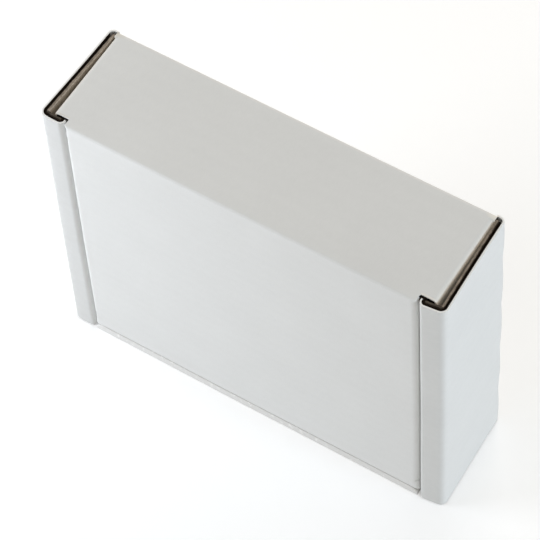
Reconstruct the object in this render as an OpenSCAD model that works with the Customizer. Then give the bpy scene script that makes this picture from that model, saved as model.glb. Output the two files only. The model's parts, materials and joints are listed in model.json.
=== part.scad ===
// Corrugated mailer box: one die-cut sheet with rolled side walls and a tuck-front lid.
// It stands on its front wall. The lid faces -Y, the base +Y, and the hinge wall is on top.
// All sizes are in millimetres. The origin is at the bottom centre of the closed box.

/* [Inside space] */
// Clear width between the inner side walls
inside_w = 154; // [130:1:240]
// Clear height between the front wall and the hinge wall
inside_h = 137; // [115:1:200]
// Clear depth between the base and the lid
inside_d = 42; // [34:1:80]

/* [Board] */
// Thickness of the board
board_t = 2.8; // [2:0.1:3.4]
// Thickness of the outer liner at a raw edge
liner_t = 0.65; // [0.4:0.05:0.8]
// Depth to which the flutes are open in a raw edge
flute_depth = 2.4; // [1:0.1:4]
// Distance from one flute to the next in an edge that cuts across them
flute_pitch = 6.3; // [4:0.1:8]
// Thickness of the fluted sheet between the liners
medium_t = 0.35; // [0.2:0.05:0.4]
// Rounding of the front wall's raw edge, which the cut has pinched
pinch_r = 0.9; // [0.4:0.1:1]

/* [Creases] */
// Outer radius of the creases at the base
base_crease_r = 2.2; // [1:0.1:2.6]
// Outer radius of the roll at the front of each side wall
roll_crease_r = 3.2; // [1.5:0.1:4]
// Outer radius of the crease between a roll and its inner wall
inner_crease_r = 2.2; // [0.8:0.1:2.6]
// How far the front of a roll falls back towards its outer crease
roll_drop = 0.6; // [0:0.1:1]
// Radius of the crease that the lid turns on
lid_crease_r = 1.6; // [1.4:0.1:2.4]

/* [Side walls] */
// Spare width in each roll, which pushes the outer wall out at the front
roll_slack = 2.3; // [0.8:0.1:4]
// Clearance between two layers of board
layer_gap = 0.3; // [0.2:0.05:0.5]
// How far the side walls end short of the wall creases
end_step = 0.5; // [0.3:0.1:1]
// Length of each corner flap inside the side walls
corner_flap_l = 48; // [25:1:55]
// Opening between a roll and the cut corner of the hinge wall
hook_gap = 1.2; // [0.5:0.1:2]

/* [Locking tabs] */
// Length of each tab on the inner side walls
tab_l = 22; // [10:1:28]
// Distance between the tabs of one side wall
tab_pitch = 61; // [50:1:78]
// Radius at the corners of the tabs
tab_corner_r = 1.5; // [0.5:0.1:2]
// Clearance round a tab in its slot
slot_gap = 0.5; // [0.3:0.1:1]

/* [Lid] */
// Seam between the lid and each roll
lid_side_gap = 1; // [0.5:0.1:2]
// Seam between the lid and the front wall
lid_front_gap = 0.6; // [0.4:0.1:1.5]
// Running clearance round the lid's crease
hinge_gap = 0.3; // [0.2:0.05:0.5]
// Depth of the tuck flap
tuck_d = 33; // [15:1:34]
// Radius at the corners of the tuck flap
tuck_corner_r = 12; // [4:1:14]
// Spare lean of the tuck flap over what its swing needs, in degrees
tuck_spare_lean = 1.2; // [0.5:0.1:3]
// Depth of the side ears
ear_d = 34; // [15:1:34]
// Distance from the hinge wall to the ears
ear_top_gap = 4; // [2:0.5:10]
// Radius at the ears' corners by the hinge wall
ear_top_r = 8; // [3:1:14]
// Radius at the ears' corners by the front wall
ear_front_r = 18; // [6:1:18]
// Clearance between the tuck flap and the ears
tuck_side_gap = 0.8; // [0.5:0.1:3]

/* [Hidden] */
$fn = 48;
eps = 0.01;

// Overall sizes
roll_w = 3 * board_t + layer_gap + roll_slack;
box_w = inside_w + 2 * roll_w;
box_h = inside_h + 2 * board_t;
box_d = inside_d + 2 * board_t;
front_y = -box_d / 2;
back_y = box_d / 2;

// Half widths of the layers, from the inside out
inner_x = inside_w / 2;
flap_x = inner_x + 2 * board_t + layer_gap;
base_x = flap_x + layer_gap + board_t;
roll_x = box_w / 2;

// Space between the liners, what the fluted sheet leaves open of it, and half a flute's mouth
core_h = board_t - 2 * liner_t;
channel_w = core_h - medium_t;
flute_half = flute_pitch / 2 - medium_t;

// Lid sizes
lid_w = inside_w - 2 * lid_side_gap;
lid_x = lid_w / 2;
lid_low_z = board_t + lid_front_gap;
axis_y = front_y + lid_crease_r;
axis_z = box_h - lid_crease_r;
swing_l = axis_z - lid_low_z;
tuck_lean = asin(tuck_d / (2 * swing_l)) + tuck_spare_lean;
tuck_w = lid_w - 2 * (board_t + tuck_side_gap);
ear_high_z = box_h - board_t - ear_top_gap;
ear_low_z = lid_low_z + ear_d * ear_d / (2 * swing_l) + board_t;

// Colours of the two faces of the board
outside_colour = [0.89, 0.9, 0.9];
lid_colour = [0.93, 0.94, 0.94];

// Half width of the outer side wall at a depth, on a plane sunk into the wall by d
wall_lean = atan((roll_x - base_x) / box_d);
function wall_x(y, d = 0) =
    roll_x - (roll_x - base_x) * (y - front_y) / box_d - d / cos(wall_lean);

// Height of a flute over the lower liner, at a distance u from its crest
function flute_rise(u) = (core_h - medium_t) * (1 + cos(360 * u / flute_pitch)) / 2;

// Mouth of one flute, with the middle of the board at 0
module flute_mouth() {
    steps = 3;
    translate([0, -core_h / 2])
        polygon([
            for (i = [0 : 2 * steps])
                let (u = flute_half * (i / steps - 1))
                [u, i % (2 * steps) == 0 ? 0 : flute_rise(u)]
        ]);
}

// A row of flutes along an edge of the given length, turned over by turns
module flute_row(edge_l) {
    n = floor(2 * (edge_l - 2 * flute_half) / flute_pitch) + 1;
    for (i = [0 : n - 1])
        translate([(i - (n - 1) / 2) * flute_pitch / 2, 0])
            mirror([0, i % 2])
                flute_mouth();
}

// Solid outline of one side wall, sunk by d from its outer faces
module roll_outline(d) {
    roll_r = max(roll_crease_r - d, 0.3);
    inner_r = max(inner_crease_r - d, 0.3);
    base_r = max(base_crease_r - d, 0.3);
    low_y = front_y + d;
    high_y = back_y - d;
    left_x = inner_x + d;
    roll_y = low_y + roll_drop + roll_r;
    inner_c = [left_x + inner_r, low_y + inner_r];
    roll_c = [wall_x(roll_y, d + roll_r), roll_y];
    base_c = [wall_x(high_y - base_r, d + base_r), high_y - base_r];
    // the front and the outer wall each touch the creases at their two ends
    span = roll_c - inner_c;
    front_lean = atan2(span[1], span[0]) + asin((inner_r - roll_r) / norm(span));
    front_out = [sin(front_lean), -cos(front_lean)];
    wall_out = [cos(wall_lean), sin(wall_lean)];
    polygon([
        [left_x, inner_c[1]],
        inner_c,
        inner_c + inner_r * front_out,
        roll_c + roll_r * front_out,
        roll_c,
        roll_c + roll_r * wall_out,
        base_c + base_r * wall_out,
        base_c,
        [base_c[0], high_y],
        [left_x, high_y]
    ]);
    translate(inner_c) circle(r = inner_r);
    translate(roll_c) circle(r = roll_r);
    translate(base_c) circle(r = base_r);
}

// Section of one side wall: outer wall, roll and inner wall
module side_section() {
    difference() {
        roll_outline(0);
        roll_outline(board_t);
    }
}

// The open channel that shows at the raw ends of a roll and its outer wall
module side_channel() {
    intersection() {
        difference() {
            roll_outline(liner_t);
            roll_outline(liner_t + channel_w);
        }
        union() {
            translate([inner_x, front_y]) square([roll_w, board_t + roll_drop]);
            translate([flap_x + layer_gap, front_y]) square([roll_w, box_d]);
        }
    }
}

// One slot through the base for a tab, or the tab itself when the gap is 0
module tab_prism(gap, low_y, high_y) {
    translate([inner_x - gap, low_y, -tab_l / 2 - gap])
        cube([board_t + 2 * gap, high_y - low_y, tab_l + 2 * gap]);
}

module at_tabs() {
    for (side = [-1, 1])
        translate([0, 0, box_h / 2 + side * tab_pitch / 2]) children();
}

// Rounds the two outer corners of a tab
module tab_corners() {
    for (side = [-1, 1])
        translate([inner_x - eps, back_y - tab_corner_r, side * (tab_l / 2 - tab_corner_r)])
            rotate([0, 90, 0])
                linear_extrude(board_t + 2 * eps)
                    difference() {
                        translate([side > 0 ? -tab_corner_r - eps : 0, 0])
                            square([tab_corner_r + eps, tab_corner_r + eps]);
                        circle(r = tab_corner_r);
                    }
}

// Right-hand side wall: outer wall, roll and inner wall with its tabs
module side_wall() {
    inner_end = board_t + layer_gap;
    difference() {
        translate([0, 0, end_step])
            linear_extrude(box_h - 2 * end_step) side_section();
        // the inner wall ends inside the front wall and the hinge wall
        for (z = [0, box_h - inner_end])
            translate([inner_x - 1, front_y + board_t, z - eps])
                cube([board_t + 1 + eps, inside_d, inner_end + 2 * eps]);
        // the inner wall stops at the base
        translate([inner_x - 1, back_y - board_t - layer_gap, 0])
            cube([board_t + 1 + eps, layer_gap + eps, box_h]);
        // slots for the tabs
        at_tabs() tab_prism(slot_gap, back_y - board_t - eps, back_y + 1);
        // the base belongs to the middle panel, whose end the outer wall takes in
        translate([inner_x - 1, back_y - board_t, -1])
            cube([flap_x - layer_gap - inner_x + 1, board_t + 1, box_h + 2]);
        // open channels in the raw ends
        for (z = [end_step - 1, box_h - end_step - flute_depth])
            translate([0, 0, z]) linear_extrude(flute_depth + 1) side_channel();
    }
    at_tabs()
        difference() {
            tab_prism(0, back_y - board_t - layer_gap - eps, back_y);
            tab_corners();
            translate([inner_x + board_t / 2, back_y - flute_depth, 0])
                rotate([-90, -90, 0])
                    linear_extrude(flute_depth + 1) flute_row(tab_l - 2 * tab_corner_r);
        }
}

// Front wall, base and hinge wall, in the plane across their creases
module wall_section() {
    r = base_crease_r;
    difference() {
        union() {
            translate([front_y, 0]) square([box_d - r, box_h]);
            translate([front_y, r]) square([box_d, box_h - 2 * r]);
            for (z = [r, box_h - r])
                translate([back_y - r, z]) circle(r = r);
        }
        translate([front_y - 1, board_t]) square([inside_d + board_t + 1, inside_h]);
        // the front wall's raw edge is pinched round
        difference() {
            translate([front_y - 1, -1]) square([pinch_r + 1, board_t + 2]);
            translate([front_y + pinch_r, pinch_r]) circle(r = pinch_r);
            translate([front_y + pinch_r, board_t - pinch_r]) circle(r = pinch_r);
            translate([front_y, pinch_r]) square([pinch_r + 1, board_t - 2 * pinch_r]);
        }
    }
}

// Corner flaps at the ends of the front wall and the hinge wall, seen from the front
module flap_section() {
    r = base_crease_r;
    for (side = [-1, 1]) {
        translate([side * (flap_x - board_t / 2), box_h / 2])
            difference() {
                square([board_t, box_h - 2 * r], center = true);
                square([board_t + 2, box_h - 2 * corner_flap_l], center = true);
            }
        for (end = [-1, 1])
            translate([side * (flap_x - r), box_h / 2 + end * (box_h / 2 - r)]) circle(r = r);
    }
}

// Front wall, base, hinge wall and corner flaps
module middle_panels() {
    r = base_crease_r;
    shoulder_y = front_y + board_t + hook_gap;
    flap_high_y = back_y - board_t - layer_gap;
    crease_room = lid_crease_r + hinge_gap;
    difference() {
        rotate([90, 0, 90])
            translate([0, 0, -flap_x])
                linear_extrude(2 * flap_x) wall_section();
        // the walls step back behind the rolls
        for (side = [0, 1])
            mirror([side, 0, 0])
                translate([lid_x, front_y - 1, -1])
                    cube([roll_w + lid_side_gap, shoulder_y - front_y + 1, box_h + 2]);
        // room for the lid's crease, and for the lid folded right back
        rotate([90, 0, 90])
            translate([axis_y, axis_z, -flap_x - 1])
                cylinder(r = crease_room, h = 2 * flap_x + 2);
        translate([-flap_x - 1, front_y - 1, axis_z])
            cube([2 * flap_x + 2, lid_crease_r + crease_room + 1, lid_crease_r + 1]);
        translate([-flap_x - 1, front_y - 1, axis_z - board_t])
            cube([2 * flap_x + 2, lid_crease_r + 1, board_t + eps]);
        // the wall ends are rounded into the flaps
        for (side = [0, 1], end = [0, 1])
            mirror([side, 0, 0])
                translate([flap_x - r, front_y - 1, end * (box_h - r)])
                    cube([r + 1, flap_high_y - front_y + 1, r]);
        // slots for the tabs
        for (side = [0, 1])
            mirror([side, 0, 0])
                at_tabs() tab_prism(slot_gap, back_y - board_t - 1, back_y + 1);
        // open channels in the raw edges behind the rolls
        for (side = [0, 1], z = [liner_t, box_h - liner_t - channel_w])
            mirror([side, 0, 0])
                translate([inner_x, shoulder_y - 1, z])
                    cube([flap_x - r - inner_x, flute_depth / 2 + 1, channel_w]);
    }
    translate([0, flap_high_y, 0])
        rotate([90, 0, 0])
            linear_extrude(flap_high_y - shoulder_y) flap_section();
}

module tray() {
    color(outside_colour) {
        middle_panels();
        side_wall();
        mirror([1, 0, 0]) side_wall();
    }
}

// What is cut from a square corner to round it, at the outline's right-hand lower corner
module outline_corner(r) {
    difference() {
        translate([-r, -1]) square([r + 1, r + 1]);
        translate([-r, r]) circle(r = r);
    }
}

// Section of the lid and its tuck flap, in the plane across their creases
module lid_section(tip) {
    r = base_crease_r;
    crease_z = lid_low_z + r * (1 + sin(tuck_lean)) / cos(tuck_lean);
    up = [-sin(tuck_lean), cos(tuck_lean)];
    along = [cos(tuck_lean), sin(tuck_lean)];
    corner = [front_y, lid_low_z];
    inner_corner_z = lid_low_z + (board_t * sin(tuck_lean) + board_t) / cos(tuck_lean);
    polygon([
        [front_y, axis_z],
        [front_y, crease_z],
        [front_y + r, crease_z],
        [front_y + r, crease_z] - r * up,
        corner + tip * along,
        corner + tip * along + board_t * up,
        [front_y + board_t, inner_corner_z],
        [front_y + board_t, axis_z]
    ]);
    translate([front_y + r, crease_z]) circle(r = r);
    translate([axis_y, axis_z]) circle(r = lid_crease_r);
}

// Cuts one corner of the tuck flap to a quarter round, at the right-hand end
module tuck_corner() {
    translate([tuck_w / 2, front_y, lid_low_z])
        rotate([tuck_lean, 0, 0])
            translate([-tuck_corner_r, tuck_d - tuck_corner_r, -1])
                linear_extrude(board_t + 2)
                    difference() {
                        square([tuck_corner_r + 1, tuck_corner_r + 1]);
                        circle(r = tuck_corner_r);
                    }
}

// Flutes in the right-hand edge of the tuck flap
module tuck_flutes() {
    edge_l = tuck_d - tuck_corner_r - board_t;
    translate([tuck_w / 2, front_y, lid_low_z])
        rotate([tuck_lean, 0, 0])
            translate([-flute_depth, board_t + edge_l / 2, board_t / 2])
                rotate([90, 0, 90])
                    linear_extrude(flute_depth + 1) flute_row(edge_l);
}

// Open channel in the free edge of the tuck flap
module tuck_channel() {
    w = tuck_w - 2 * tuck_corner_r;
    translate([0, front_y, lid_low_z])
        rotate([tuck_lean, 0, 0])
            translate([-w / 2, tuck_d - flute_depth, liner_t])
                cube([w, flute_depth + 1, channel_w]);
}

// Outline of an ear: square at its crease, round at its two free corners
module ear_outline() {
    free_y = front_y + ear_d;
    difference() {
        translate([front_y + base_crease_r, ear_low_z])
            square([ear_d - base_crease_r, ear_high_z - ear_low_z]);
        translate([free_y, ear_low_z]) outline_corner(ear_front_r);
        translate([free_y, ear_high_z]) mirror([0, 1]) outline_corner(ear_top_r);
    }
}

// How far an ear's free edge lies back from its deepest point at a height, in its round corners
function corner_back(z, r) = z >= r ? 0 : r - sqrt(r * r - (r - z) * (r - z));
function ear_back(z) =
    corner_back(z - ear_low_z, ear_front_r) + corner_back(ear_high_z - z, ear_top_r);

// Flutes in the free edge of an ear, which follow its round corners
module ear_flutes() {
    half = flute_pitch / 2;
    n = floor((ear_high_z - ear_low_z - 2 * half) / half);
    for (i = [1 : n]) {
        z = ear_low_z + half + (i - 0.5) * half;
        if (ear_back(z) < ear_front_r / 3)
            translate([lid_x - board_t / 2, front_y + ear_d - ear_back(z) - flute_depth, z])
                rotate([-90, -90, 0])
                    linear_extrude(ear_back(z) + flute_depth + 1)
                        mirror([0, i % 2])
                            flute_mouth();
    }
}

// Open channels in the two ends of an ear, which run along its flutes
module ear_channels() {
    from_y = front_y + board_t;
    ends = [[ear_low_z - 1, ear_front_r], [ear_high_z - flute_depth, ear_top_r]];
    for (end = ends)
        translate([lid_x - liner_t - channel_w, from_y, end[0]])
            cube([channel_w, front_y + ear_d - end[1] - from_y, flute_depth + 1]);
}

// Right-hand ear with its rounded crease
module ear() {
    r = base_crease_r;
    difference() {
        rotate([90, 0, 90])
            translate([0, 0, lid_x - board_t])
                linear_extrude(board_t) ear_outline();
        ear_flutes();
        ear_channels();
    }
    translate([lid_x - r, front_y + r, ear_low_z])
        cylinder(r = r, h = ear_high_z - ear_low_z);
    translate([lid_x - board_t, front_y + r, ear_low_z])
        cube([board_t - r, board_t - r, ear_high_z - ear_low_z]);
}

module lid() {
    color(lid_colour) {
        difference() {
            union() {
                rotate([90, 0, 90])
                    translate([0, 0, -tuck_w / 2])
                        linear_extrude(tuck_w) lid_section(tuck_d);
                rotate([90, 0, 90])
                    translate([0, 0, -lid_x])
                        linear_extrude(lid_w) lid_section(board_t);
            }
            for (side = [0, 1])
                mirror([side, 0, 0]) {
                    tuck_corner();
                    tuck_flutes();
                    // the lid's edge is rounded where an ear folds in
                    translate([lid_x - base_crease_r, front_y - 1, ear_low_z])
                        cube([base_crease_r + 1, base_crease_r + 1, ear_high_z - ear_low_z]);
                }
            tuck_channel();
        }
        ear();
        mirror([1, 0, 0]) ear();
    }
}

tray();
lid();
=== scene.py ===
import json
import math

import bmesh
import bpy
from mathutils import Matrix, Vector, noise


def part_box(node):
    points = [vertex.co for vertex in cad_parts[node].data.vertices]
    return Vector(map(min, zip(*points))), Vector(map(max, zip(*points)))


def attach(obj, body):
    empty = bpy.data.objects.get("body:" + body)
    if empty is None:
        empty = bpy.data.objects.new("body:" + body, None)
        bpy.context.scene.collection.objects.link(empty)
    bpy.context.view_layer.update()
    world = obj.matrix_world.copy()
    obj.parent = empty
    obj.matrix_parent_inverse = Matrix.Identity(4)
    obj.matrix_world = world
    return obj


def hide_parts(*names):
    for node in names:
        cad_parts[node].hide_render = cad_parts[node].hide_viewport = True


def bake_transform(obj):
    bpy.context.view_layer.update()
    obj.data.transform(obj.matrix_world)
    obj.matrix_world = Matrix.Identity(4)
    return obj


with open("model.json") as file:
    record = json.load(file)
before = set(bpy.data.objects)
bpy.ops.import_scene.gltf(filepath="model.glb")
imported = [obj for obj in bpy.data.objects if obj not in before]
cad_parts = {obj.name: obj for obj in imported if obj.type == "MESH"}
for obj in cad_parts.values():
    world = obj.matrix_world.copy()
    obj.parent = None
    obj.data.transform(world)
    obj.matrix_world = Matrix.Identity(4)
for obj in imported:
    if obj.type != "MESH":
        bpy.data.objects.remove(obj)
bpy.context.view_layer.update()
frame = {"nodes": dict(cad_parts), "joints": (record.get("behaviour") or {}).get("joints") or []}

# Sizes of the board, its creases and the gaps between its layers, in metres
MM = 0.001
BOARD = 2.8 * MM
LINER = 0.65 * MM
FLUTE_PITCH = 6.3 * MM
FLUTE_DEPTH = 2.4 * MM
BASE_CREASE = 2.2 * MM
ROLL_CREASE = 3.2 * MM
INNER_CREASE = 2.2 * MM
ROLL_DROP = 0.6 * MM
WALL_FLARE = 2 * MM
LAYER_GAP = 0.3 * MM
HOOK_GAP = 1.2 * MM
LID_SIDE_GAP = 1 * MM
LID_FRONT_GAP = 0.6 * MM
TAB_PITCH = 61 * MM
TAB_L = 22 * MM
TUCK_LEAN = math.radians(8.1)
TUCK_SIDE_GAP = 0.8 * MM
EAR_D = 34 * MM
EAR_TOP_GAP = 4 * MM

# Planes and half widths of the box
tray_low, tray_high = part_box("tray")
lid_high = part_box("lid")[1]
FRONT_Y = tray_low.y
BACK_Y = tray_high.y
TOP_Z = tray_high.z
LID_X = lid_high.x
INNER_X = LID_X + LID_SIDE_GAP
FLAP_X = INNER_X + 2 * BOARD + LAYER_GAP
BASE_X = FLAP_X + LAYER_GAP + BOARD
ROLL_X = BASE_X + WALL_FLARE
SHOULDER_Y = FRONT_Y + BOARD + HOOK_GAP
LID_LOW_Z = BOARD + LID_FRONT_GAP
TUCK_X = LID_X - BOARD - TUCK_SIDE_GAP
HINGE = Vector(frame["joints"][0]["pos_m"])
HINGE_R = TOP_Z - HINGE.z
EAR_Y = FRONT_Y + EAR_D
EAR_LOW_Z = LID_LOW_Z + EAR_D**2 / (2 * (HINGE.z - LID_LOW_Z)) + BOARD
EAR_HIGH_Z = TOP_Z - BOARD - EAR_TOP_GAP

# How near a point counts as on a plane, and how deep a corner may lie on a liner
NEAR = 0.05 * MM
ON_LINER = 0.12 * MM

# What counts as one point, as too short an edge, as flat and as smooth when a mesh is finished
SAME_POINT = 0.001 * MM
SHORTEST_EDGE = 0.03 * MM
FLAT_WITHIN = math.radians(0.1)
SMOOTH_WITHIN = math.radians(32)

# Widths of the cream rims where the stretched white liner folds, a painted highlight, and of the painted grey
# shade on the rolls' fronts
FLAP_RIM = 1.6 * MM
SHOULDER_RIM = 0.9 * MM
ROLL_PAINTED_SHADE = 1.6 * MM

# Spacing of the cuts that let a panel bend with the slack of the sheet, and where the ears' cuts end
CELL_X = 5 * MM
CELL_Y = 4 * MM
CELL_Z = 4.5 * MM
FINE_CELL = 1 * MM
LID_CELL_Y = 5 * MM
LID_CELLS_END = 10 * MM

# Colours of the board
LINER_WHITE = (0.815, 0.822, 0.815, 1)
# Painted highlight: cream where the stretched liner folds and catches light, with a painted brown bounce
CREAM_HIGHLIGHT = (0.95, 0.915, 0.84, 1)
KRAFT_BROWN = (0.43, 0.315, 0.205, 1)
# Painted light: paler kraft inside the outer walls, to lighten the shaded gaps at the open ends
KRAFT_PAINTED_LIGHT = (0.66, 0.58, 0.49, 1)
KRAFT_FLECK = (0.20, 0.13, 0.08, 1)
# Painted shade: near black for cut edges in shade, with open flutes or in the hooks' gaps
CUT_PAINTED_SHADE = (0.035, 0.028, 0.022, 1)
CUT_BROWN = (0.33, 0.275, 0.22, 1)
CUT_PALE = (0.83, 0.825, 0.81, 1)
# Painted highlight: the outer liner's cut whiter than the liner, a bright line where it catches light
CUT_LINER_HIGHLIGHT = (0.97, 0.97, 0.955, 1)
# Painted shade: near black brown for the walls deep in open flutes
FLUTE_PAINTED_SHADE = (0.06, 0.042, 0.03)


# Selection

def deselect():
    if bpy.context.object and bpy.context.object.mode != "OBJECT":
        bpy.ops.object.mode_set(mode="OBJECT")
    bpy.ops.object.select_all(action="DESELECT")


def pick(piece):
    deselect()
    piece.select_set(True)
    bpy.context.view_layer.objects.active = piece


def edit(piece, everything=True):
    pick(piece)
    bpy.ops.object.mode_set(mode="EDIT")
    bpy.ops.mesh.select_all(action="SELECT" if everything else "DESELECT")


def done():
    bpy.ops.object.mode_set(mode="OBJECT")
    deselect()


# Materials

def add_node(tree, kind, values=None, **settings):
    """A node with its settings, and with its inputs set or linked by name or number."""
    made = tree.nodes.new(kind)
    for name, value in settings.items():
        setattr(made, name, value)
    for name, value in (values or {}).items():
        if isinstance(value, bpy.types.NodeSocket):
            tree.links.new(value, made.inputs[name])
        else:
            made.inputs[name].default_value = value
    return made


def start_material(name, roughness, specular):
    material = bpy.data.materials.new(name)
    material.use_nodes = True
    shader = material.node_tree.nodes["Principled BSDF"]
    shader.inputs["Roughness"].default_value = roughness
    shader.inputs["Specular IOR Level"].default_value = specular
    return material, material.node_tree, shader


def remap(tree, value, low, high, first=0.0, second=1.0):
    """A value between low and high, moved to the range from first to second."""
    return add_node(
        tree,
        "ShaderNodeMapRange",
        {"Value": value, "From Min": low, "From Max": high, "To Min": first, "To Max": second},
    ).outputs["Result"]


def speckle(tree, where, scale, detail, low, high):
    """Noise as a factor that runs from low to high."""
    grain = add_node(tree, "ShaderNodeTexNoise", {"Vector": where, "Scale": scale, "Detail": detail})
    return remap(tree, grain.outputs[0], 0.3, 0.7, low, high)


def times(tree, first, second):
    return add_node(tree, "ShaderNodeMath", {0: first, 1: second}, operation="MULTIPLY").outputs[0]


def plus(tree, first, second):
    return add_node(tree, "ShaderNodeMath", {0: first, 1: second}, operation="ADD").outputs[0]


def larger(tree, first, second):
    return add_node(tree, "ShaderNodeMath", {0: first, 1: second}, operation="MAXIMUM").outputs[0]


def tint(tree, factor, first, second):
    """Colour mixed from first to second."""
    mixer = add_node(tree, "ShaderNodeMix", data_type="RGBA")
    for socket, value in zip((mixer.inputs[0], mixer.inputs[6], mixer.inputs[7]), (factor, first, second)):
        if isinstance(value, bpy.types.NodeSocket):
            tree.links.new(value, socket)
        else:
            socket.default_value = value
    return mixer.outputs[2]


def shade(tree, colour, factor):
    """Colour made lighter or darker by a factor."""
    return add_node(
        tree, "ShaderNodeVectorMath", {0: colour, "Scale": factor}, operation="SCALE"
    ).outputs[0]


def sheet_map(tree, name):
    """A factor that dress() has written on the mesh."""
    return add_node(tree, "ShaderNodeAttribute", attribute_name=name).outputs["Fac"]


def emboss(tree, shader, height, strength, distance):
    """Fine relief from a height."""
    bump = add_node(tree, "ShaderNodeBump", {"Height": height, "Strength": strength, "Distance": distance})
    tree.links.new(bump.outputs[0], shader.inputs["Normal"])


def board_way(tree, along, across):
    """Coordinates on the flat board, in its UV map, stretched along the flutes and across them."""
    way = add_node(tree, "ShaderNodeUVMap", uv_map="board_way")
    return add_node(
        tree, "ShaderNodeMapping", {"Vector": way.outputs[0], "Scale": (along, across, 1.0)}
    ).outputs[0]


def washboard(tree):
    """Faint ridges where the liner follows the flutes, from 0 to 1."""
    way = add_node(tree, "ShaderNodeUVMap", uv_map="board_way")
    across = add_node(tree, "ShaderNodeSeparateXYZ", {0: way.outputs[0]}).outputs[1]
    turn = times(tree, across, 2 * math.pi / FLUTE_PITCH)
    wave = add_node(tree, "ShaderNodeMath", {0: turn}, operation="SINE").outputs[0]
    return plus(tree, times(tree, wave, 0.5), 0.5)


def white_liner():
    """Bleached outer liner: nearly even white with soft clouding, short fibres and faint ridges, a painted
    cream highlight at the stretched folds, and painted grey shade on the rolls' fronts and the left crease's
    rim.
    """
    material, tree, shader = start_material("white_liner", 0.62, 0.3)
    place = add_node(tree, "ShaderNodeTexCoord").outputs["Object"]
    cloud = speckle(tree, place, 38.0, 3.0, 0.985, 1.01)
    blotch = speckle(tree, place, 420.0, 3.0, 0.992, 1.006)
    fibre = speckle(tree, board_way(tree, 2600.0, 420.0), 1.0, 3.0, 0.988, 1.008)
    ridge = washboard(tree)
    crease = sheet_map(tree, "crease")
    level = times(tree, times(tree, cloud, blotch), fibre)
    level = times(tree, level, plus(tree, times(tree, ridge, 0.006), 0.997))
    # Painted shade: greyer on the rolls' fronts and on the left crease's rim
    painted_light_and_shade = sheet_map(tree, "painted_light_and_shade")
    level = times(tree, level, plus(tree, times(tree, painted_light_and_shade, -0.10), 1.0))
    # Painted highlight: cream on the rims of the folds
    white = tint(tree, crease, LINER_WHITE, CREAM_HIGHLIGHT)
    tree.links.new(shade(tree, white, level), shader.inputs["Base Color"])
    height = plus(tree, times(tree, ridge, 0.5), times(tree, fibre, 6.0))
    emboss(tree, shader, height, 0.35, 0.02 * MM)
    return material


def kraft_liner():
    """Brown inner liner with long fibres and small dark and pale flecks, paler inside the outer walls as
    painted light in the narrow gaps at the open ends.
    """
    material, tree, shader = start_material("kraft_liner", 0.8, 0.2)
    place = add_node(tree, "ShaderNodeTexCoord").outputs["Object"]
    cloud = speckle(tree, place, 60.0, 4.0, 0.9, 1.08)
    fibre = speckle(tree, board_way(tree, 3000.0, 300.0), 1.0, 4.0, 0.84, 1.12)
    fleck = speckle(tree, place, 1600.0, 2.0, 0.0, 1.0)
    fleck = add_node(tree, "ShaderNodeMath", {0: fleck, 1: 12.0}, operation="POWER").outputs[0]
    ridge = washboard(tree)
    level = times(tree, times(tree, cloud, fibre), plus(tree, times(tree, ridge, 0.06), 0.97))
    # Painted light: paler brown inside the outer walls, in place of bounce light in the narrow gaps
    painted_light_and_shade = sheet_map(tree, "painted_light_and_shade")
    plain = tint(tree, painted_light_and_shade, KRAFT_BROWN, KRAFT_PAINTED_LIGHT)
    brown = tint(tree, fleck, plain, KRAFT_FLECK)
    tree.links.new(shade(tree, brown, level), shader.inputs["Base Color"])
    height = plus(tree, times(tree, ridge, 1.5), times(tree, fibre, 3.0))
    emboss(tree, shader, height, 0.5, 0.05 * MM)
    return material


def raw_edge():
    """Cut edge of the board: a white line for the outer liner, whiter than the liner as a painted highlight,
    then brown layers with torn fibres, with painted shade in the open flutes between the liners and
    near-black painted shade where the edge tone is low.
    """
    material, tree, shader = start_material("raw_edge", 0.9, 0.1)
    place = add_node(tree, "ShaderNodeTexCoord").outputs["Object"]
    depth = sheet_map(tree, "board_depth")
    tone = sheet_map(tree, "edge_tone")
    ragged = plus(tree, depth, speckle(tree, place, 700.0, 3.0, -0.05, 0.05))
    layer = remap(tree, ragged, LINER / BOARD, LINER / BOARD + 0.05)
    # Painted shade: the cut goes dark in the open flutes between the liners
    open_flute_shade = remap(tree, ragged, 0.68, 0.76, 0.12)
    # The edge tone picks the cut's brown; its dark end is painted shade
    ramp = add_node(tree, "ShaderNodeValToRGB", {"Fac": tone})
    ramp.color_ramp.elements[0].color = CUT_PAINTED_SHADE
    ramp.color_ramp.elements[1].color = CUT_PALE
    ramp.color_ramp.elements.new(0.5).color = CUT_BROWN
    pinched = remap(tree, tone, 0.6, 0.9)
    open_flute_shade = larger(tree, open_flute_shade, pinched)
    fibre = speckle(tree, place, 2200.0, 3.0, 0.8, 1.1)
    torn_and_shaded = times(tree, times(tree, speckle(tree, place, 420.0, 2.0, 0.65, 1.2), open_flute_shade), fibre)
    torn_and_shaded = larger(tree, torn_and_shaded, pinched)
    colour = tint(tree, layer, CUT_LINER_HIGHLIGHT, shade(tree, ramp.outputs[0], torn_and_shaded))
    tree.links.new(colour, shader.inputs["Base Color"])
    emboss(tree, shader, fibre, 0.6, 0.05 * MM)
    return material


def flute_painted_shade():
    """Walls of the open flutes, painted near black as the shade deep inside them."""
    material, tree, shader = start_material("flute_painted_shade", 0.95, 0.05)
    place = add_node(tree, "ShaderNodeTexCoord").outputs["Object"]
    fibre = speckle(tree, place, 1500.0, 3.0, 0.6, 1.4)
    tree.links.new(shade(tree, FLUTE_PAINTED_SHADE, fibre), shader.inputs["Base Color"])
    return material


FINISHES = [white_liner(), kraft_liner(), raw_edge(), flute_painted_shade()]
WHITE, KRAFT, RAW, FLUTE = range(4)


# Where a point lies in the board

def ramp(value, start, end):
    """0 at start and before it, 1 at end and past it."""
    return max(0.0, min(1.0, (value - start) / (end - start)))


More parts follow.
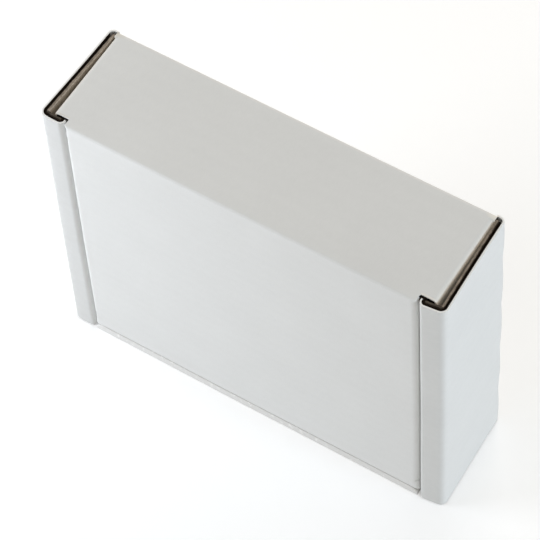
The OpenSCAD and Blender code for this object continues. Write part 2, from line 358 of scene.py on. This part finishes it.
def rounded(first, second, radius):
    """Depth below two faces that meet in a rounded crease."""
    if first < radius and second < radius:
        return radius - math.hypot(radius - first, radius - second)
    return min(first, second)


def crease_depth(place, first_out, second_out, radius):
    """Depth of a place, taken from a crease's centre, below the two faces that the crease joins."""
    if first_out.cross(place) > 0 and place.cross(second_out) > 0:
        return radius - place.length
    return radius - max(place.dot(first_out), place.dot(second_out))


# The rolled side wall in plan: the way out of each face, and the centres of its creases
WALL_LEAN = math.atan(WALL_FLARE / (BACK_Y - FRONT_Y))
WALL_OUT = Vector((math.cos(WALL_LEAN), math.sin(WALL_LEAN)))


def crease_centre(y, radius):
    """Centre of a crease of the outer wall."""
    wall_x = ROLL_X - WALL_FLARE * (y - FRONT_Y) / (BACK_Y - FRONT_Y)
    return Vector((wall_x - radius / math.cos(WALL_LEAN), y))


INNER_CENTRE = Vector((INNER_X + INNER_CREASE, FRONT_Y + INNER_CREASE))
ROLL_CENTRE = crease_centre(FRONT_Y + ROLL_DROP + ROLL_CREASE, ROLL_CREASE)
BASE_CENTRE = crease_centre(BACK_Y - BASE_CREASE, BASE_CREASE)
ROLL_SPAN = ROLL_CENTRE - INNER_CENTRE
FRONT_LEAN = math.atan2(ROLL_SPAN.y, ROLL_SPAN.x)
FRONT_LEAN += math.asin((INNER_CREASE - ROLL_CREASE) / ROLL_SPAN.length)
FRONT_OUT = Vector((math.sin(FRONT_LEAN), -math.cos(FRONT_LEAN)))


def side_depth(p):
    """Depth below the outer skin of a rolled side wall."""
    place = Vector((abs(p.x), p.y))
    if place.y > 0 and place.x > INNER_X + BOARD + 0.5 * MM:
        return crease_depth(place - BASE_CENTRE, WALL_OUT, Vector((0, 1)), BASE_CREASE)
    if place.x < (INNER_CENTRE.x + ROLL_CENTRE.x) / 2:
        return crease_depth(place - INNER_CENTRE, Vector((-1, 0)), FRONT_OUT, INNER_CREASE)
    return crease_depth(place - ROLL_CENTRE, FRONT_OUT, WALL_OUT, ROLL_CREASE)


def at_tab(c):
    """Whether a face is at the height of a locking tab, in the line of the inner side walls."""
    across = abs(c.x) - INNER_X
    along = abs(abs(c.z - TOP_Z / 2) - TAB_PITCH / 2)
    return -NEAR < across < BOARD + NEAR and along < TAB_L / 2 + NEAR


def tray_panel(c):
    """Name of the panel of the tray that a face lies in."""
    x = abs(c.x)
    inside_ends = BOARD + 4 * NEAR < c.z < TOP_Z - BOARD - 4 * NEAR
    if c.y > BACK_Y - NEAR and not at_tab(c):
        return "base"
    if x > FLAP_X + 3 * NEAR:
        return "side"
    if x > INNER_X - NEAR and c.y < FRONT_Y + BOARD + ROLL_DROP + 2 * NEAR:
        return "side"
    if INNER_X - NEAR < x < INNER_X + BOARD + NEAR and inside_ends:
        return "side"
    if c.y > BACK_Y - BOARD - 2 * NEAR and inside_ends:
        return "base"
    if x > FLAP_X - BOARD - NEAR and inside_ends:
        return "flap"
    return "top" if c.z > TOP_Z / 2 else "bottom"


def tray_depth(panel, p):
    """Depth below the outer skin of a point in a panel of the tray."""
    x = abs(p.x)
    if panel == "side":
        return side_depth(p)
    level = TOP_Z - p.z if p.z > TOP_Z / 2 else p.z
    if panel == "flap":
        return rounded(level, FLAP_X - x, BASE_CREASE)
    if panel == "base":
        return rounded(level, BACK_Y - p.y, BASE_CREASE)
    if x > FLAP_X - BASE_CREASE - 2 * NEAR and p.y < BACK_Y - BOARD:
        return rounded(level, FLAP_X - x, BASE_CREASE)
    return rounded(level, BACK_Y - p.y, BASE_CREASE)


def above_tuck(p):
    """Height of a point over the outer face of the tuck flap."""
    up = Vector((0, -math.sin(TUCK_LEAN), math.cos(TUCK_LEAN)))
    return (p - Vector((0, FRONT_Y, LID_LOW_Z))).dot(up)


def lid_panel(c):
    """Name of the panel of the lid that a face lies in."""
    behind_lid = c.y - FRONT_Y - BOARD
    if above_tuck(c) < BOARD + NEAR and behind_lid > -2 * NEAR and abs(c.x) < LID_X - BOARD:
        return "tuck"
    return "ear" if behind_lid > 0.02 * MM else "lid"


def lid_depth(panel, p):
    """Depth below the outer skin of a point in a panel of the lid."""
    front = p.y - FRONT_Y
    side = LID_X - abs(p.x)
    if panel == "tuck":
        return above_tuck(p)
    if panel == "ear":
        return side
    if p.z > HINGE.z:
        return HINGE_R - math.hypot(p.y - HINGE.y, p.z - HINGE.z)
    if above_tuck(p) < BOARD:
        return rounded(above_tuck(p), front, BASE_CREASE)
    if front < BOARD - NEAR and lid_ear_span(p.z):
        return rounded(front, side, BASE_CREASE)
    return front


def lid_ear_span(z):
    """Whether the lid's edge is folded into an ear at this height."""
    return EAR_LOW_Z - 2 * NEAR < z < EAR_HIGH_Z + 2 * NEAR


def sunk(panel, c, out):
    """Whether a face is the floor of an open flute, and not the cut edge round it."""
    past = 1 * MM
    if panel in ("side", "ear") and abs(out.z) > 0.99:
        low, high = (0.0, TOP_Z) if panel == "side" else (EAR_LOW_Z, EAR_HIGH_Z)
        edge = min(c.z - low, high - c.z)
        return past < edge < FLUTE_DEPTH + past and c.y < BACK_Y - BASE_CREASE
    if panel == "side":
        return out.y > 0.99 and c.y < BACK_Y - past and abs(c.x) < INNER_X + BOARD
    if panel == "ear":
        return out.y > 0.999 and c.y < EAR_Y - past
    if panel == "tuck":
        return abs(out.x) > 0.99 and abs(c.x) < TUCK_X - past
    return panel in ("top", "bottom") and out.y < -0.99 and c.y > SHOULDER_Y + past / 2


def edge_tone(panel, c):
    """Brown of a cut edge: 0 is near-black painted shade for open flutes and gaps in shade, 0.5 plain and 1
    pinched shut and pale.
    """
    x = abs(c.x)
    if panel == "bottom" and x < LID_X + 2 * NEAR and c.y < FRONT_Y + BOARD + 2 * MM:
        return 1.0
    if panel == "lid" and x > LID_X - BASE_CREASE - 2 * NEAR:
        return 1.0
    # Painted shade: the cut end of a roll's front lies in deep shade
    if panel == "side" and c.y < FRONT_Y + BOARD + ROLL_DROP:
        return 0.1
    if panel == "side" and c.y > BACK_Y - BASE_CREASE:
        return 0.6
    # Painted shade: the cuts in the hooks' gaps, darker at the right end than at the left
    if panel in ("top", "bottom") and x > LID_X - 0.5 * MM and c.y < SHOULDER_Y + 0.2 * MM:
        return 0.05 if c.x > 0 else 0.3
    return 0.5


# Slack of the real sheet, the same for all its pieces

noise.seed_set(7)
WANDER_START = Vector((3.1, 0.0, 1.7))
WANDER_PER_METRE = 14.0
WANDER_X = 0.22 * MM
WANDER_Y = 0.18 * MM
WANDER_Z = 0.2 * MM
STEADY_HEIGHT = 20 * MM
TAB_SWELL = 0.55 * MM
LEFT_ROLL_LEAN = 0.6 * MM


def slack(p):
    """Small unevenness of the folded board at a point at rest."""
    wander = noise.noise_vector(p * WANDER_PER_METRE + WANDER_START)
    rise = min(p.z / STEADY_HEIGHT, 1.0)
    move = Vector((WANDER_X * wander.x, WANDER_Y * wander.y, WANDER_Z * wander.z * rise))
    # The base crease swells where the locking tabs push it out
    past_flap = min(1.0, (abs(p.x) - FLAP_X) / BOARD)
    if past_flap > 0:
        rear = max(0.0, p.y / BACK_Y)
        swell = math.cos(2 * math.pi * (p.z - TOP_Z / 2 - TAB_PITCH / 2) / TAB_PITCH)
        move.x += math.copysign(TAB_SWELL * swell * rear * rear * past_flap, p.x)
    # The left roll's front leans back towards the lid
    if p.x < NEAR - INNER_X:
        towards_lid = ramp(-p.x, INNER_X + 6 * MM, INNER_X)
        at_front = ramp(p.y, FRONT_Y + 4 * MM, FRONT_Y + 1 * MM)
        move.y += LEFT_ROLL_LEAN * towards_lid * at_front
    return move


# Making the pieces

def copy_node(name, new_name):
    """A merged copy of a CAD node's mesh, in a piece of its own."""
    deselect()
    source = frame["nodes"][name]
    piece = bpy.data.objects.new(new_name, source.data.copy())
    bpy.context.scene.collection.objects.link(piece)
    piece.data.name = new_name
    piece.data.materials.clear()
    edit(piece)
    bpy.ops.mesh.remove_doubles(threshold=SAME_POINT)
    bpy.ops.mesh.dissolve_limited(angle_limit=FLAT_WITHIN)
    bpy.ops.mesh.quads_convert_to_tris(quad_method="BEAUTY", ngon_method="BEAUTY")
    done()
    return piece


def cut_across(piece, axis, places):
    """Cuts a piece by planes across an axis."""
    edit(piece)
    for place in places:
        point = [0.0, 0.0, 0.0]
        point[axis] = place
        normal = [0.0, 0.0, 0.0]
        normal[axis] = 1.0
        bpy.ops.mesh.select_all(action="SELECT")
        bpy.ops.mesh.bisect(plane_co=point, plane_no=normal)
    done()


def steps(low, high, pitch):
    """Places of cuts from low to high, equally far apart, by about the pitch."""
    count = max(1, round((high - low) / pitch))
    return [low + (high - low) * (i + 0.5) / count for i in range(count)]


def dress(piece, panel_of, depth_of):
    """Finishes of the faces, and the maps that the materials read."""
    for finish in FINISHES:
        piece.data.materials.append(finish)
    mesh = piece.data
    sheet = bmesh.new()
    sheet.from_mesh(mesh)
    way = sheet.loops.layers.uv.new("board_way")
    depth_layer = sheet.loops.layers.float.new("board_depth")
    fold_highlight_layer = sheet.loops.layers.float.new("crease")
    tone_layer = sheet.loops.layers.float.new("edge_tone")
    painted_light_and_shade_layer = sheet.loops.layers.float.new("painted_light_and_shade")
    probe = 0.02 * MM
    for face in sheet.faces:
        centre = face.calc_center_median()
        panel = panel_of(centre)
        tone = edge_tone(panel, centre)
        depths = [depth_of(panel, corner.vert.co) for corner in face.loops]
        above = depth_of(panel, centre + face.normal * probe)
        below = depth_of(panel, centre - face.normal * probe)
        like_liner = abs(above - below) / (2 * probe) > 0.25
        if max(depths) < ON_LINER:
            face.material_index = WHITE
        elif min(depths) > BOARD - ON_LINER and tone < 1:
            face.material_index = KRAFT
        # Open flutes take the near-black painted shade
        elif tone < 0.6 and (like_liner or sunk(panel, centre, face.normal)):
            face.material_index = FLUTE
        else:
            face.material_index = RAW
        across_z = abs(face.normal.z) < 0.6
        along_y = panel in ("side", "ear")
        for corner, depth in zip(face.loops, depths):
            p = corner.vert.co
            corner[way].uv = (p.y if along_y else p.x, p.z if across_z else p.y)
            corner[depth_layer] = max(0.0, depth) / BOARD
            corner[fold_highlight_layer] = fold_highlight(panel, p)
            corner[tone_layer] = tone
            corner[painted_light_and_shade_layer] = paint_light_and_shade(panel, p, face.material_index)
    sheet.to_mesh(mesh)
    sheet.free()


def fold_highlight(panel, p):
    """How far a point lies in the cream rim of a fold, a painted highlight where the stretched white liner
    catches light.
    """
    if panel not in ("top", "bottom"):
        return 0.0
    x = abs(p.x)
    rim = 1.0 - (FLAP_X - x) / FLAP_RIM
    if x > LID_X - 0.5 * MM:
        rim = max(rim, 1.0 - (p.y - SHOULDER_Y) / SHOULDER_RIM)
    return max(0.0, min(1.0, rim))


def paint_light_and_shade(panel, p, finish):
    """Painted grey shade on a roll's front, deeper on the left, and on the left crease's rim; painted light
    that makes the brown liner paler inside the outer walls, for the gaps at the open ends.
    """
    # Painted shade on the left crease's rim
    if panel == "top" and p.x < 0:
        return 2.0 * fold_highlight(panel, p)
    if panel != "side":
        return 0.0
    # Painted light on the brown liner inside the outer walls
    if finish == KRAFT:
        return 1.0 if abs(p.x) > FLAP_X else 0.0
    # Painted shade on the rolls' fronts, deeper on the left
    left_deeper = 1.15 if p.x < 0 else 1.0
    return left_deeper * max(0.0, min(1.0, 1.5 - (p.y - FRONT_Y) / ROLL_PAINTED_SHADE))


# The rounding of the lid's lower crease, and the crushed front edge of the bottom wall under it
FOOT_RISE = BASE_CREASE * (1 + math.sin(TUCK_LEAN)) / math.cos(TUCK_LEAN)
LID_FOOT = Vector((FRONT_Y + BASE_CREASE, LID_LOW_Z + FOOT_RISE))
LIP_CUTS = [FRONT_Y + back * MM for back in (0.1, 0.3, 0.7, 1.2, 1.8, 2.6)]
LIP_DEPTH = 4 * MM
LIP_FADE = 2 * MM
LIP_RISE = 1.9 * MM
LIP_GAP = 0.05 * MM


def lid_foot_height(back):
    """Height of the lid's lower crease at a distance back from the front."""
    if back >= BASE_CREASE:
        return LID_LOW_Z + back * math.tan(TUCK_LEAN)
    return LID_FOOT.y - math.sqrt(BASE_CREASE**2 - (BASE_CREASE - back) ** 2)


def lift_front_lip(piece):
    """Spreads the crushed front edge of the bottom wall upwards, to where the lid's crease rests on it."""
    for vertex in piece.data.vertices:
        p = vertex.co
        back = p.y - FRONT_Y
        if back > LIP_DEPTH or not 0.5 * BOARD < p.z < BOARD + 2 * NEAR:
            continue
        lift = max(0.0, min(LIP_RISE, lid_foot_height(back) - BOARD - LIP_GAP))
        inward = min(1.0, (LIP_DEPTH - back) / LIP_FADE)
        sideways = ramp(abs(p.x), LID_X, LID_X - LIP_FADE)
        p.z += lift * inward * sideways * (p.z / BOARD) ** 2


# Cuts across the rounding of the lid's side edges, and how far the ears' creases swell
EDGE_CUTS = [
    side * (LID_X - BASE_CREASE * (1 - math.sin(math.radians(15 * i)))) for side in (-1, 1) for i in range(6)
]
SIDE_SWELL = 0.5 * MM


def pinch_lid_edges(piece):
    """Rounds the lid's raw side edges off, above and below the ears, as far as the ears' own creases."""
    for vertex in piece.data.vertices:
        p = vertex.co
        past = abs(p.x) - (LID_X - BASE_CREASE)
        in_board = 1.0 - (p.y - FRONT_Y) / BOARD
        if past <= 0 or in_board <= 0 or EAR_LOW_Z + NEAR < p.z < EAR_HIGH_Z - NEAR:
            continue
        below_top = ramp(p.z, TOP_Z + 0.1 * MM, TOP_Z - 1.5 * MM)
        above_foot = ramp(p.z, LID_LOW_Z, LID_LOW_Z + 3 * MM)
        arc = BASE_CREASE - math.sqrt(max(0.0, BASE_CREASE**2 - past**2))
        if p.y < FRONT_Y + arc:
            p.y += arc * min(below_top, above_foot) * min(1.0, in_board)
    edit(piece)
    bpy.ops.mesh.dissolve_degenerate(threshold=SHORTEST_EDGE)
    done()


def swell_side_creases(piece):
    """Swells the creases of the ears sideways, less towards the hinge."""
    for vertex in piece.data.vertices:
        p = vertex.co
        at_side = ramp(abs(p.x), LID_X - 5 * MM, LID_X)
        at_front = ramp(p.y, FRONT_Y + 8 * MM, FRONT_Y + 3 * MM)
        below_hinge = ramp(p.z, HINGE.z - 1 * MM, HINGE.z - 4 * MM)
        p.x += math.copysign(SIDE_SWELL * at_side * at_front * below_hinge, p.x)


def settle(piece):
    """Gives a piece the slack of the sheet."""
    for vertex in piece.data.vertices:
        vertex.co += slack(vertex.co)
    piece.data.update()


def smooth(piece):
    """Smooth creases that leave the flat panels flat."""
    pick(piece)
    bpy.ops.object.shade_smooth_by_angle(angle=SMOOTH_WITHIN)
    bpy.ops.object.modifier_add(type="WEIGHTED_NORMAL")
    flatten = piece.modifiers[-1]
    flatten.keep_sharp = True
    bpy.ops.object.modifier_apply(modifier=flatten.name)
    deselect()


def tray_board():
    piece = copy_node("tray", "tray_board")
    cut_across(piece, 0, steps(-BASE_X, BASE_X, CELL_X))
    cut_across(piece, 1, steps(FRONT_Y, BACK_Y, CELL_Y) + [SHOULDER_Y + SHOULDER_RIM] + LIP_CUTS)
    cut_across(piece, 2, steps(0, TOP_Z, CELL_Z))
    dress(piece, tray_panel, tray_depth)
    lift_front_lip(piece)
    settle(piece)
    smooth(piece)
    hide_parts("tray")
    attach(piece, "tray")


def lid_board():
    piece = copy_node("lid", "lid_board")
    cut_across(piece, 0, steps(-LID_X, LID_X, CELL_X) + EDGE_CUTS)
    cut_across(piece, 1, steps(FRONT_Y, LID_CELLS_END, LID_CELL_Y))
    cut_across(piece, 2, steps(LID_LOW_Z, TOP_Z, CELL_Z))
    cut_across(piece, 2, steps(EAR_HIGH_Z, HINGE.z, FINE_CELL) + steps(LID_LOW_Z, EAR_LOW_Z, FINE_CELL))
    dress(piece, lid_panel, lid_depth)
    pinch_lid_edges(piece)
    swell_side_creases(piece)
    settle(piece)
    smooth(piece)
    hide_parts("lid")
    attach(piece, "lid")


def pick_edge(piece, place):
    """Selects in edit mode the edge across the box that runs through a place, y and z."""
    bpy.ops.mesh.select_all(action="DESELECT")
    sheet = bmesh.from_edit_mesh(piece.data)
    for edge in sheet.edges:
        if all((Vector((v.co.y, v.co.z)) - place).length < 2 * SAME_POINT for v in edge.verts):
            edge.select_set(True)
    bmesh.update_edit_mesh(piece.data)


def extrude_to(piece, first, last, count):
    """Extrudes the strip's end in equal steps from a place to another."""
    step = (last - first) / count
    for i in range(count):
        pick_edge(piece, first + step * i)
        bpy.ops.mesh.extrude_edges_move(TRANSFORM_OT_translate={"value": (0, step.x, step.y)})


# The liners over the lid's crease
STRIP_THICKNESS = 0.3 * MM
STRIP_STAND_OFF = 0.04 * MM
FLAT_STEPS = 4
BEND_STEPS = 8


def crease_strip(name, front_y, top_z, back_y, low_z, radius, outside):
    """A liner bent across the lid's crease: back along the hinge wall, round the corner and down."""
    start = Vector((back_y, top_z))
    corner = Vector((front_y, top_z))
    end = Vector((front_y, low_z))
    centre = corner + Vector((radius, -radius))
    bend_start = Vector((centre.x, corner.y))
    bend_end = Vector((corner.x, centre.y))
    first = start.lerp(bend_start, 1 / FLAT_STEPS)
    deselect()
    bpy.ops.mesh.primitive_plane_add(size=1, location=(0, (start.x + first.x) / 2, start.y))
    piece = bpy.context.object
    piece.name = name
    piece.data.name = name
    bpy.ops.transform.resize(value=(2 * LID_X, start.x - first.x, 1))
    bpy.ops.object.transform_apply(location=True, rotation=False, scale=True)
    edit(piece, False)
    bpy.ops.mesh.select_mode(type="EDGE")
    extrude_to(piece, first, bend_start, FLAT_STEPS - 1)
    pick_edge(piece, bend_start)
    middle = (0, centre.x, centre.y)
    bpy.ops.mesh.spin(steps=BEND_STEPS, angle=-math.pi / 2, center=middle, axis=(1, 0, 0))
    extrude_to(piece, bend_end, end, FLAT_STEPS)
    bpy.ops.mesh.select_all(action="SELECT")
    bpy.ops.mesh.remove_doubles(threshold=SAME_POINT)
    bpy.ops.mesh.normals_make_consistent(inside=False)
    done()
    top = max(piece.data.polygons, key=lambda face: face.center.y)
    if (top.normal.z > 0) != outside:
        edit(piece)
        bpy.ops.mesh.flip_normals()
        done()
    pick(piece)
    bpy.ops.object.modifier_add(type="SOLIDIFY")
    piece.modifiers[-1].thickness = STRIP_THICKNESS
    bpy.ops.object.modifier_apply(modifier=piece.modifiers[-1].name)
    cut_across(piece, 0, steps(-LID_X, LID_X, CELL_X) + EDGE_CUTS)
    depth = 0.0 if outside else BOARD
    dress(piece, lambda place: "crease", lambda panel, place: depth)
    if outside:
        pinch_lid_edges(piece)
    settle(piece)
    smooth(piece)
    return piece


def hinge_skin():
    """White liner that covers the lid's crease from outside."""
    front_y = FRONT_Y - STRIP_STAND_OFF
    top_z = TOP_Z + STRIP_STAND_OFF
    back_y = FRONT_Y + 4.8 * MM
    low_z = HINGE.z - 1.8 * MM
    piece = crease_strip("hinge_skin", front_y, top_z, back_y, low_z, radius=1.1 * MM, outside=True)
    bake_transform(piece)


def hinge_lining():
    """Brown liner on the inside of the lid's crease."""
    front_y = FRONT_Y + BOARD + STRIP_STAND_OFF
    top_z = TOP_Z - BOARD - STRIP_STAND_OFF
    back_y = FRONT_Y + 4.2 * MM
    low_z = HINGE.z - 2.6 * MM
    piece = crease_strip("hinge_lining", front_y, top_z, back_y, low_z, radius=0.3 * MM, outside=False)
    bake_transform(piece)


tray_board()
lid_board()
hinge_skin()
hinge_lining()


# Floor, light and camera

def camera_sees(tree):
    """1 for rays that reach the picture directly, in a reflection or through glass."""
    path = add_node(tree, "ShaderNodeLightPath").outputs
    seen = larger(tree, path["Is Camera Ray"], path["Is Glossy Ray"])
    return larger(tree, seen, path["Is Transmission Ray"])


FLOOR_GLOW = 0.26


def pale_floor():
    """Floor that keeps the shadow and glows a little for the camera alone."""
    deselect()
    bpy.ops.mesh.primitive_plane_add(size=12, location=(0, 0, 0))
    floor = bpy.context.object
    floor.name = "floor"
    material = bpy.data.materials.new("floor_paint")
    material.use_nodes = True
    tree = material.node_tree
    tree.nodes.clear()
    paint = add_node(tree, "ShaderNodeBsdfDiffuse", {"Color": (0.9, 0.9, 0.9, 1)})
    glow = add_node(
        tree,
        "ShaderNodeEmission",
        {"Color": (1, 1, 1, 1), "Strength": times(tree, camera_sees(tree), FLOOR_GLOW)},
    )
    both = add_node(tree, "ShaderNodeAddShader", {0: paint.outputs[0], 1: glow.outputs[0]})
    add_node(tree, "ShaderNodeOutputMaterial", {0: both.outputs[0]})
    floor.data.materials.append(material)


def sky():
    """Warm dome over the box, and plain white where the camera sees past the floor."""
    world = bpy.data.worlds.new("studio")
    world.use_nodes = True
    bpy.context.scene.world = world
    tree = world.node_tree
    tree.nodes.clear()
    dome = add_node(tree, "ShaderNodeBackground", {"Color": (1.0, 0.96, 0.885, 1), "Strength": 0.505})
    plain = add_node(tree, "ShaderNodeBackground", {"Color": (1, 1, 1, 1), "Strength": 1.0})
    mixed = add_node(
        tree, "ShaderNodeMixShader", {0: camera_sees(tree), 1: dome.outputs[0], 2: plain.outputs[0]}
    )
    add_node(tree, "ShaderNodeOutputWorld", {0: mixed.outputs[0]})


def soft_lamp(name, place, size, power, colour):
    """Round lamp aimed at the middle of the box."""
    deselect()
    bpy.ops.object.light_add(type="AREA", location=place)
    lamp = bpy.context.object
    lamp.name = name
    lamp.data.shape = "DISK"
    lamp.data.size = size
    lamp.data.energy = power
    lamp.data.color = colour
    aim = Vector((0, 0, TOP_Z / 2)) - Vector(place)
    lamp.rotation_mode = "QUATERNION"
    lamp.rotation_quaternion = aim.to_track_quat("-Z", "Y")


def photo_camera():
    """The photograph's view, turned so that the box fills the frame."""
    deselect()
    bpy.ops.object.camera_add()
    camera = bpy.context.object
    focal_px = 3142.7
    frame_px = 540
    camera.data.sensor_width = 36.0
    camera.data.lens = focal_px / frame_px * camera.data.sensor_width
    camera.data.clip_start = 0.05
    camera.data.clip_end = 20.0
    forward = Vector((-0.3208, 0.4421, -0.8376)).normalized()
    right = Vector((0.8458, 0.5318, -0.0432))
    right = (right - forward * right.dot(forward)).normalized()
    up = right.cross(forward)
    turn = Matrix((right, up, -forward)).transposed()
    camera.location = (0.3868, -0.5383, 1.0893)
    camera.rotation_mode = "QUATERNION"
    camera.rotation_quaternion = turn.to_quaternion()
    bpy.context.scene.camera = camera


pale_floor()
sky()
soft_lamp("left_lamp", (-0.362, -0.242, 0.209), 0.3, 1.1, (0.85, 0.91, 1.0))
soft_lamp("right_lamp", (1.521, -0.024, 0.533), 0.6, 8.5, (0.73, 0.86, 1.0))
soft_lamp("rear_lamp", (-0.3, 1.0, 0.45), 0.6, 3.3, (1.0, 0.94, 0.875))
photo_camera()
bpy.context.scene.view_settings.view_transform = "Standard"
